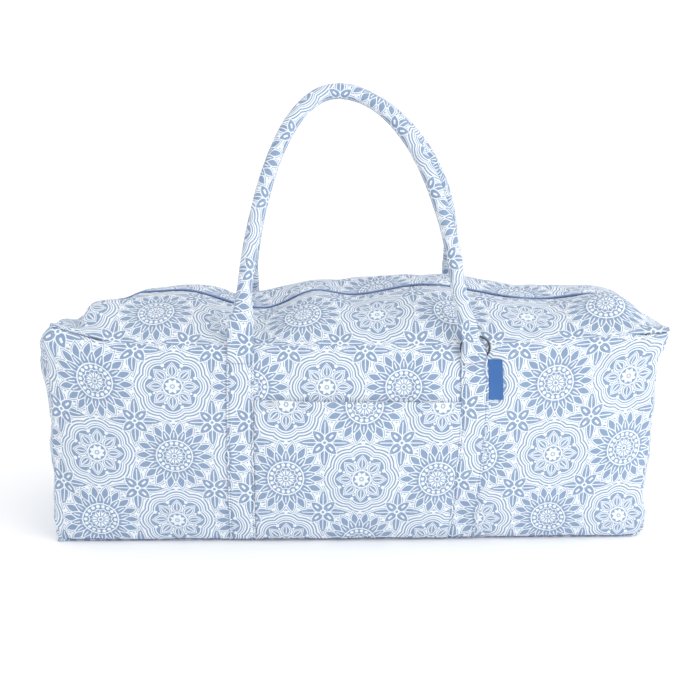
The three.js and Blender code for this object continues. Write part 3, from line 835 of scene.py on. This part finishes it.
def handleLine(facing):
    form = carryHandles
    own = form["arches"][facing]

    def tail(side):
        clear = form["ringRoom"] if (side, facing) == ("right", -1) else form["tailGap"]
        low, high = form["ringFoot"], form["ringTop"]
        zs = np.array([form["tailFoot"], low, (low + high) / 2, high])
        onStrap = np.minimum(zs, strapBands["top"])
        xs = strapX(side, onStrap)
        outs = standOn(faceOf[facing], xs, onStrap, facing) + strapBands["lift"] + form["tailThick"] / 2
        outs = outs + np.array([form["tailGap"], clear, clear, clear])
        xs = xs + np.array([0, 0, 0.5, 1]) * form["tailLean"].get((facing, side), 0)
        springX = own["apexX"] + (-1 if side == "left" else 1) * own[side]
        knots = [(x, facing * out, z) for x, out, z in zip(xs, outs, zs)]
        bendX = xs[-1] + (springX - xs[-1]) * form["bendAt"][facing]
        return knots + [(bendX, facing * (outs[-1] - form["bendIn"]), form["tailBend"])]

    turns = np.linspace(np.pi, 0, form["archKnots"])
    cos, sin = np.cos(turns), np.maximum(0, np.sin(turns))
    rise = sin ** own["pointed"]
    reach = np.where(cos < 0, own["left"], own["right"]) * np.abs(cos) ** own["pointed"]
    reach = reach + np.where(cos < 0, *own["bows"]) * np.abs(np.sin(2 * turns)) * cos**2
    arch = np.stack([
        own["apexX"] + np.sign(cos) * reach,
        facing * (form["footLean"] + (form["apexLean"] - form["footLean"]) * rise),
        form["springing"] + form["rise"] * rise,
    ], axis=1)
    return throughPoints(np.vstack([tail("left"), arch, tail("right")[::-1]]), form["steps"])


handleLines = {facing: handleLine(facing) for facing in (-1, 1)}


def makeStrap(side, facing):
    form = strapBands
    wide, bottom, top = form["width"], form["bottom"], form["top"]

    def place(u, v):
        across, z = (u - 0.5) * wide, bottom + v * (top - bottom)
        x = strapX(side, z) - facing * across
        dip = form["sewnDeep"] * bell(wide / 2 - np.abs(across) - form["sewnIn"], form["sewnWide"])
        out = standOn(faceOf[facing], x, z, facing) + form["lift"] - dip + waveOver(form["wave"], x, z)
        return np.stack([x, facing * out, z], axis=1)

    startU, startV = carryHandles["printAt"][facing]
    if side == "left":
        flip, printAt = 1, (startU - wide / 2, startV + bottom)
    else:  # the far end of the same band
        ending = handleLines[facing][1][-1] + 2 * carryHandles["tailFoot"]
        flip, printAt = -1, (startU + wide / 2, startV + ending - bottom)
    word = sideName[facing]
    extent = (flip * wide, flip * (top - bottom))
    piece = patchOn(word + "Strap" + side.capitalize(), form["grid"], extent, printAt, place, form["thick"])
    dress(piece, canvas, "printed_canvas", f"{word}_strap_{side}")
    return piece


straps = {(side, facing): makeStrap(side, facing) for facing in (-1, 1) for side in ("left", "right")}
print("straps sewn on")


# Patch pocket between the front straps

patchPocket = {
    "height": 166.0,
    "tilt": 2.5,  # the mouth is higher at the left
    "widthAt": 80.0,  # height at which its flat width is taken
    "gap": 0.3,
    "thick": 1.3,
    "lift": 1.9,
    "puff": {"deep": 2.0, "across": 0.5, "up": 0.7},
    "hem": 12.0,
    "hemExtra": 0.4,
    "hemStep": 1.6,
    "mouth": {"open": 3.6, "across": 0.6, "reach": 22.0},  # it stands open in the middle
    "mouthWave": {"deep": 0.5, "size": 34.0, "shift": 2.0},
    "wave": {"deep": 0.5, "size": 27.0, "shift": 9.0},
    "grid": (60, 84),
    "printAt": (48.0, 3.0),
}


def makePocket():
    form = patchPocket
    inner = strapBands["width"] / 2 + form["gap"]
    bottom, top = strapBands["bottom"], form["height"]
    wide = strapX("right", form["widthAt"]) - strapX("left", form["widthAt"]) - 2 * inner

    def place(u, v):
        mouth, puff = form["mouth"], form["puff"]
        rim = top + form["tilt"] * (1 - u)
        z = bottom + v * (rim - bottom)
        left, right = strapX("left", z) + inner, strapX("right", z) - inner
        x = left + (right - left) * u
        gape = mouth["open"] * np.sin(np.pi * u) ** mouth["across"] * bell(rim - z, mouth["reach"])
        gape = gape * (1 + waveOver(form["mouthWave"], x))
        full = puff["deep"] * np.sin(np.pi * u) ** puff["across"]
        full = full * np.sin(np.pi * np.clip(v, 0, 1)) ** puff["up"]
        hem = form["hemExtra"] * ease((z - rim + form["hem"]) / form["hemStep"] + 0.5)
        out = standOn(faceOf[-1], x, z, -1) + form["lift"] + gape + full + hem
        return np.stack([x, -out - waveOver(form["wave"], x, z) * np.sin(np.pi * u), z], axis=1)

    piece = patchOn("pocketCloth", form["grid"], (wide, top - bottom), form["printAt"], place, form["thick"])
    dress(piece, canvas, "printed_canvas", "front_pocket")
    wide * mm
    return piece


pocketCloth = makePocket()
print("pocket sewn on")


# Bare woven tag in the outer edge of the right front strap

sideTag = {
    "width": 15.0,
    "height": 42.0,
    "top": 210.5,
    "gap": 0.3,
    "thick": 0.9,
    "lift": 1.3,
    "curl": (0.96, 1.6),  # how far the free edge stands off, at the foot and at the top
    "rounding": 0.25,
    "grid": (14, 32),
}


def makeTag():
    form = sideTag
    wide, tall = form["width"], form["height"]
    start = strapBands["width"] / 2 + form["gap"]

    def place(u, v):
        z = form["top"] - tall * (1 - v)
        x = strapX("right", z) + start + u * wide
        foot, head = form["curl"]
        out = standOn(faceOf[-1], x, z, -1) + form["lift"] + u * u * (foot + (head - foot) * v)
        return np.stack([x, -out, z], axis=1)

    piece = patchOn("sideTag", form["grid"], (wide, tall), (0, 0), place, form["thick"])
    finishWith(piece, "BEVEL", width=form["rounding"] * mm, segments=2, limit_method="ANGLE")
    dress(piece, tagSatin, "tag_weave", "label_tag")


makeTag()


# Steel D-ring between the right front strap and the handle's tail

steelRing = {
    "width": 33.0,
    "height": 25.0,
    "wire": 2.4,
    "bar": 213.5,  # height of its straight bar
    "bowShare": 0.75,
    "shift": 1.0,
    "out": 1.9,
    "corner": 9.0,
    "segments": (120, 14),
    "arcSteps": (60, 16),
    "turnShare": 0.02,  # the wire's direction is taken over this share of its length, each way
}


def ringPath():  # from the middle of the bar round to the same place
    form = steelRing
    half, bow = form["width"] / 2 - form["wire"] / 2, form["height"] - form["wire"]
    straight, corner = bow - half * form["bowShare"], form["corner"]
    turns = np.linspace(0, np.pi, form["arcSteps"][0])
    bend = np.linspace(-np.pi / 2, 0, form["arcSteps"][1])
    arc = np.stack([half * np.cos(turns), straight + (bow - straight) * np.sin(turns)], axis=1)
    right = np.stack([half - corner + corner * np.cos(bend), corner + corner * np.sin(bend)], axis=1)
    left = (right * np.array([-1, 1]))[::-1]
    return np.vstack([[(0, 0)], right, arc, left, [(0, 0)]])


def makeRing():
    form = steelRing
    path = ringPath()
    reach = runAlong(path)
    thin = 0.25  # wire of the plain torus that is bent to the path
    add, (around, section) = bpy.ops.mesh.primitive_torus_add, form["segments"]
    piece = startWith("steelRing", add, major_segments=around, minor_segments=section, major_radius=1,
                      minor_radius=thin, generate_uvs=False)
    torus = getPoints(piece)
    far = np.arctan2(torus[:, 1], torus[:, 0]) / (2 * np.pi) % 1.0 * reach[-1]
    wireSide = (np.hypot(torus[:, 0], torus[:, 1]) - 1) / thin * form["wire"] / 2
    wireOut = torus[:, 2] / thin * form["wire"] / 2

    def onPath(at):
        return np.stack([np.interp(at, reach, path[:, i]) for i in (0, 1)], axis=1)

    step = reach[-1] * form["turnShare"]
    run = unit(onPath((far + step) % reach[-1]) - onPath((far - step) % reach[-1]))
    at, barX = onPath(far), strapX("right", form["bar"])
    rest = standOn(faceOf[-1], np.array([barX]), np.array([form["bar"]]), -1)[0]
    x = barX + form["shift"] + at[:, 0] + run[:, 1] * wireSide
    y = -(rest + form["out"] + form["wire"] / 2) - wireOut
    z = form["bar"] + at[:, 1] - run[:, 0] * wireSide
    setPoints(piece, np.stack([x, y, z], axis=1) * mm)
    faceOutwards(piece)
    smooth(piece)
    dress(piece, steel, "ring_steel", "d_ring")


makeRing()
print("tag and ring in place")


# Rolled carrying handles

def rollPoints(facing, turn, index):  # points of the roll's skin: turn runs round it and index along it
    form = carryHandles
    line, far = handleLines[facing]
    run = unit(np.gradient(line, axis=0))
    out = unit(np.array([0.0, facing, 0.0]) - facing * run[:, 1:2] * run)
    across = np.cross(run, out)
    z = line[:, 2]
    start, end = form["roll"][facing]
    onLeft = np.arange(len(line)) < len(line) / 2
    overRing = ~onLeft & (facing < 0)
    fold, kink, grain, seam = (form[part] for part in ("fold", "kink", "crease", "seam"))
    foldDeep = fold["deep"] * bell(z - np.where(onLeft, fold["left"], fold["right"]), fold["wide"])
    narrow = overRing * ease((z - form["ringFoot"]) / (form["ringTop"] - form["ringFoot"]))
    tailWide = form["tailWidth"] + (form["ringWidth"] - form["tailWidth"]) * narrow
    share = ease((z - start) / (end - start))[index]
    flat = 1 - 2 * np.abs(turn) / np.pi
    c, s = np.cos(turn), np.sin(turn)
    skin = np.stack([far[index] * grain["along"], c * grain["around"], s * grain["around"]], axis=1)
    small = grain["share"] * ripple(skin, grain["small"], grain["shift"])
    radius = form["grip"] / 2 + grain["deep"] * share * (ripple(skin, 1.0, facing) + small)
    radius = radius - seam["deep"] * share * bell(s + 1, seam["wide"])
    radius = radius - kink["deep"] * (overRing * bell(z - kink["at"], kink["wide"]))[index]
    edge = np.sqrt(np.maximum(0, 1 - np.abs(flat) ** form["tailEdge"]))
    wide = tailWide[index] / 2 * flat * (1 - share) + radius * c * share
    thick = form["tailThick"] / 2 * np.sign(s) * edge * (1 - share) + radius * s * share
    thick = thick - foldDeep[index] * (1 - share * share)
    return line[index] + across[index] * wide[:, None] + out[index] * thick[:, None]


def makeHandle(name, node, facing):
    form = carryHandles
    far = handleLines[facing][1]
    add = bpy.ops.mesh.primitive_cylinder_add
    piece = startWith(name, add, vertices=form["sides"], radius=1, depth=2, calc_uvs=False)
    cutAlong(piece, 2, form["steps"] - 1)
    tube = getPoints(piece)
    index = np.rint((tube[:, 2] + 1) / 2 * form["steps"]).astype(int)
    turn = np.arctan2(tube[:, 1], tube[:, 0])
    setPoints(piece, rollPoints(facing, turn, index) * mm)
    corners = cornersOf(piece)
    angles = np.where(turn < -np.pi / 2 + 1e-4, turn + 2 * np.pi, turn)[corners]
    for face in piece.data.polygons:  # the print meets itself along the closing seam
        loops = list(face.loop_indices)
        own = angles[loops]
        if len(loops) == 4 and np.ptp(own) > np.pi:
            angles[loops] = np.where(own > np.pi, own - 2 * np.pi, own)
    u, v = (np.pi / 2 - angles) * form["tailWidth"] / np.pi, far[index][corners] + form["tailFoot"]
    setPrint(piece, np.stack([u, v], axis=1) + np.array(form["printAt"][facing]))
    faceOutwards(piece)
    finishWith(piece, "SUBSURF", levels=1, render_levels=1)
    smooth(piece)
    dress(piece, canvas, "printed_canvas", node)
    return piece


frontHandle = makeHandle("frontHandleRoll", "front_handle", -1)
makeHandle("backHandleRoll", "back_handle", 1)
print("handles rolled")


# Zip: tape and nylon teeth under the lips of the top, slider at the left end

topZip = {
    "tapeHalf": 9.0,
    "tapeSunk": 3.0,
    "tapeThick": 0.9,
    "grid": (150, 8),
    "toothPitch": 1.0,
    "tooth": (5.6, 1.15, 2.6),  # long, wide, tall
    "toothSway": 0.1,
    "ends": 326.0,
    "teeth": (-296.0, 300.0),
}


def manyOf(name, template, turns, places):  # copies of one small shape in one mesh
    points, faces = template
    every = np.einsum("nij,pj->npi", turns, points) + places[:, None, :]
    everyFace = [[k + i * len(points) for k in face] for i in range(len(places)) for face in faces]
    mesh = bpy.data.meshes.new(name)
    mesh.from_pydata(every.reshape(-1, 3).tolist(), [], everyFace)
    piece = bpy.data.objects.new(name, mesh)
    scene.collection.objects.link(piece)
    smooth(piece)
    return piece


def bead(long, wide, tall):  # points and faces of a small rounded bar along x
    add, turned = bpy.ops.mesh.primitive_uv_sphere_add, (0, math.pi / 2, 0)
    piece = startWith("bead", add, segments=6, ring_count=4, radius=0.5, calc_uvs=False, rotation=turned)
    bpy.ops.object.transform_apply(location=True, rotation=True, scale=True)
    points = getPoints(piece)
    points[:, 0] = np.sign(points[:, 0]) * np.abs(points[:, 0] * 2) ** 0.5 / 2
    faces = [list(face.vertices) for face in piece.data.polygons]
    bpy.data.objects.remove(piece)
    return points * np.array([long, wide, tall]) * mm, faces


def crestAt(x, y=0.0):  # places on the top of the filled form
    return filled(np.asarray(x, dtype=float) / halfLength, y / halfDepth, 1.0)


def makeZip():
    ends, half = topZip["ends"], topZip["tapeHalf"]

    def place(u, v):
        return crestAt((u * 2 - 1) * ends, (v * 2 - 1) * half) - np.array([0, 0, topZip["tapeSunk"]])

    tape = patchOn("zipTape", topZip["grid"], (ends * 2, half * 2), (0, 0), place, topZip["tapeThick"])
    dress(tape, tapeCloth, "zip_tape", "zip")
    xs = np.arange(*topZip["teeth"], topZip["toothPitch"])
    at = crestAt(xs)
    run = unit(crestAt(xs + 1.0) - at)
    side = np.tile(np.array([0.0, 1.0, 0.0]), (len(xs), 1))
    side = unit(side - run * np.sum(side * run, axis=1, keepdims=True))
    up = np.cross(run, side)
    sway = np.where(np.arange(len(xs)) % 2, topZip["toothSway"], -topZip["toothSway"])
    long = unit(side + run * sway[:, None])
    turns = np.stack([long, np.cross(up, long), up], axis=2)
    dress(manyOf("zipTeeth", bead(*topZip["tooth"]), turns, at * mm), nylon, "zip_tape")


makeZip()

zipSlider = {
    "nose": -284.0,
    "length": 12.0,
    "width": 8.0,
    "taper": 0.75,
    "tall": 3.6,
    "lift": 2.0,
    "rounding": 1.1,
    "bridge": (2.2, 0.6),  # radius of the loop and of its wire
    "pull": {"long": 16.5, "wide": 5.6, "neck": 0.72, "thick": 1.3, "high": 0.75, "droop": 2.0, "under": 3.0},
    "pullRounding": 0.5,
    "sharp": 35.0,  # edges above this angle stay sharp, degrees
}


def makePull():
    form, pull = zipSlider, zipSlider["pull"]
    piece = startWith("zipPull", bpy.ops.mesh.primitive_cube_add, size=1, calc_uvs=False)
    cutAlong(piece, 0, 9)
    points = getPoints(piece)
    t = 0.5 - points[:, 0]
    points[:, 1] *= pull["wide"] * (pull["neck"] + (1 - pull["neck"]) * t)
    points[:, 2] = points[:, 2] * pull["thick"] + form["tall"] * pull["high"] - t * pull["droop"]
    points[:, 0] = -form["length"] / 2 + pull["under"] - t * pull["long"]
    setPoints(piece, points * mm)
    finishWith(piece, "BEVEL", width=form["pullRounding"] * mm, segments=2, limit_method="ANGLE")
    return piece


def makeSlider():
    form = zipSlider
    body = startWith("zipSlider", bpy.ops.mesh.primitive_cube_add, size=1, calc_uvs=False)
    points = getPoints(body) * np.array([form["length"], form["width"], form["tall"]])
    points[:, 1] *= np.where(points[:, 0] > 0, form["taper"], 1.0)
    setPoints(body, points * mm)
    finishWith(body, "BEVEL", width=form["rounding"] * mm, segments=3)
    add, (loop, wire) = bpy.ops.mesh.primitive_torus_add, form["bridge"]
    bridge = startWith("zipBridge", add, major_segments=24, minor_segments=8, major_radius=loop * mm,
                       minor_radius=wire * mm, rotation=(math.pi / 2, 0, 0),
                       location=(0, 0, form["tall"] / 2 * mm), generate_uvs=False)
    pull = makePull()
    pickOnly(body)
    bridge.select_set(True)
    pull.select_set(True)
    bpy.ops.object.join()
    nose, tip = crestAt(form["nose"]), crestAt(form["nose"] - form["length"] - form["pull"]["long"])
    tilt = math.atan2(nose[2] - tip[2], nose[0] - tip[0])
    points = getPoints(body) / mm - np.array([form["length"] / 2, 0, 0])
    x = points[:, 0] * math.cos(tilt) - points[:, 2] * math.sin(tilt)
    z = points[:, 0] * math.sin(tilt) + points[:, 2] * math.cos(tilt)
    placed = np.stack([x + nose[0], points[:, 1] + nose[1], z + nose[2] + form["lift"]], axis=1)
    setPoints(body, placed * mm)
    smooth(body)
    pickOnly(body)
    bpy.ops.object.shade_smooth_by_angle(angle=math.radians(form["sharp"]))
    dress(body, steel, "ring_steel", "zip_slider")


makeSlider()
print("zip and slider in place")


# Stitches

seamThreads = {
    "plain": {"pitch": 3.4, "long": 2.5, "wide": 0.8, "tall": 0.6},
    "tack": {"pitch": 1.0, "long": 0.9, "wide": 4.6, "tall": 0.8},  # crowded stitches across the line
    "base": {"pitch": 2.1, "long": 2.8, "wide": 2.2, "tall": 0.8},  # heavier dark thread along the base seam, which also paints the shadow line under the bag's lower edge
    "sink": 0.05,
}
stitchLines = {  # millimetres
    "strap": (6.0, 208.0),  # up each edge of the straps
    "hemUp": 1.4,  # above the foot of the pocket's hem
    "hemIn": 17.0,  # from the middle of the strap at each end
    "tack": (-96.0, -82.0, 164.0),  # from, to and height
    "baseUp": 2.9,
    "baseWaves": [(0.5, 17.0), (0.3, 5.3)],  # depth and length
    "steps": 60,
}
tailRows = {"RightTail": (214.0, 11.0), "RingTail": (234.0, 7.0)}  # height, half the length
baseShadowRuns = {  # what each run lies on, from and to
    "leftBase": (panels["front"], -322, -141),
    "leftStrapBase": (straps["left", -1], -139, -112),
    "pocketBase": (pocketCloth, -110, 102),
    "rightStrapBase": (straps["right", -1], 104, 131),
    "rightBase": (panels["front"], 133, 314),
}


def sewOn(name, piece, xs, zs, facing, thread=threadAndShade, kind="plain"):  # stitches lying on a piece
    surface, sewing = surfaceOf(piece), seamThreads[kind]
    far = runAlong(np.stack([xs, zs], axis=1))
    spots, turns = [], []
    for t in np.arange(sewing["pitch"] / 2, far[-1], sewing["pitch"]):
        ends = (t - sewing["long"] / 2, t + sewing["long"] / 2)
        hits = [seenAt(surface, np.interp(s, far, xs), np.interp(s, far, zs), facing) for s in ends]
        if any(hit[0] is None for hit in hits):
            continue
        (start, startUp), (end, endUp) = hits
        run = (end - start).normalized()
        side = (startUp + endUp).normalized().cross(run).normalized()
        up = run.cross(side)
        turns.append(np.array([run, side, up]).T)
        spots.append((start + end) / 2 - up * seamThreads["sink"] * mm)
    stitch = bead(sewing["long"], sewing["wide"], sewing["tall"])
    dress(manyOf(name, stitch, np.array(turns), np.array(spots)), thread, "printed_canvas")


steps = stitchLines["steps"]
for (side, facing), strap in straps.items():
    zs = np.linspace(*stitchLines["strap"], steps)
    for edge, sign in (("Inner", -1), ("Outer", 1)):
        xs = strapX(side, zs) + sign * (strapBands["width"] / 2 - strapBands["sewnIn"])
        sewOn(f"{sideName[facing]}{side.capitalize()}{edge}Stitch", strap, xs, zs, facing)
hemFoot = patchPocket["height"] - patchPocket["hem"]
hemEnds = (strapX("left", hemFoot) + stitchLines["hemIn"], strapX("right", hemFoot) - stitchLines["hemIn"])
hemZs = hemFoot + stitchLines["hemUp"] + np.linspace(patchPocket["tilt"], 0, steps)
sewOn("pocketHemStitch", pocketCloth, np.linspace(*hemEnds, steps), hemZs, -1, paleCotton)
start, end, z = stitchLines["tack"]
sewOn("pocketTack", pocketCloth, np.linspace(start, end, steps), np.full(steps, z), -1, paleCotton, "tack")
# dark stitches along the base: partly the seam's thread, partly a painted shadow line under the rolled lower
# edge
for name, (piece, start, end) in baseShadowRuns.items():
    xs = np.linspace(start, end, steps)
    zs = stitchLines["baseUp"] + sum(deep * np.sin(xs / long) for deep, long in stitchLines["baseWaves"])
    sewOn(name + "Stitch", piece, xs, zs, -1, threadAndShade, "base")
for name, (z, half) in tailRows.items():
    lean = carryHandles["tailLean"][-1, "right"] if name == "RingTail" else 0
    xs = strapX("right", min(z, strapBands["top"])) + lean + np.linspace(-half, half, steps)
    sewOn(f"front{name}Stitch", frontHandle, xs, np.full(steps, z), -1)
print("stitches sewn")


# Flat cloth of each panel, millimetres: worked out here but not kept

topExtra = 15.0  # cloth that the rise of each top half takes up
wall = (bagForm["length"], bagForm["height"])
end = (bagForm["depth"], bagForm["height"])
topHalf = (bagForm["length"], halfDepth + topExtra)
panelSizes = {
    "front": wall,
    "back": wall,
    "base": (bagForm["length"], bagForm["depth"]),
    "left": end,
    "right": end,
    "topFront": topHalf,
    "topBack": topHalf,
}
for part, (wide, tall) in panelSizes.items():
    wide * mm
    tall * mm


# Studio

studio = {
    "camera": (-6.4, -1224.2, 463.9),
    "pitch": 12.47,
    "lens": 54.29,
    "world": 1.10,
    "light": ((1.7, -1.5, 0.8), (0.1, 0.0, 0.14), 2.0, 26.0),  # place, aim and width in metres, watts
}


def makeStudio():
    floor = startWith("paleFloor", bpy.ops.mesh.primitive_plane_add, size=24)
    material, tree, shader = newMaterial("floorPaper")
    metres = tree.nodes.new("ShaderNodeTexCoord").outputs["Object"]
    drift = noiseAt(tree, metres, 3.0)
    tone = mixTones(tree, drift, (0.96, 0.96, 0.97), (0.98, 0.98, 0.98))
    tree.links.new(tone, shader.inputs["Base Color"])
    shader.inputs["Roughness"].default_value = 0.9
    shader.inputs["Specular IOR Level"].default_value = 0.1
    floor.data.materials.append(material)

    world = bpy.data.worlds.new("studioWorld")
    world.use_nodes = True
    world.node_tree.nodes["Background"].inputs["Color"].default_value = (1, 1, 1, 1)
    world.node_tree.nodes["Background"].inputs["Strength"].default_value = studio["world"]
    scene.world = world
    place, aim, wide, watts = studio["light"]
    light = bpy.data.lights.new("softLight", "AREA")
    light.shape = "DISK"
    light.size = wide
    light.energy = watts
    lamp = bpy.data.objects.new("softLight", light)
    lamp.location = place
    lamp.rotation_euler = (Vector(aim) - Vector(place)).to_track_quat("-Z", "Y").to_euler()
    scene.collection.objects.link(lamp)

    lens = bpy.data.cameras.new("photoCamera")
    lens.lens = studio["lens"]
    lens.sensor_width = 36
    lens.clip_end = 100
    eye = bpy.data.objects.new("photoCamera", lens)
    eye.location = Vector(studio["camera"]) * mm
    eye.rotation_euler = (math.radians(90 - studio["pitch"]), 0, 0)
    scene.collection.objects.link(eye)
    scene.camera = eye
    scene.view_settings.view_transform = "Standard"


makeStudio()
print("studio lit")

for leftover in [m for m in bpy.data.materials if m.name.startswith("cut.")]:
    bpy.data.materials.remove(leftover)
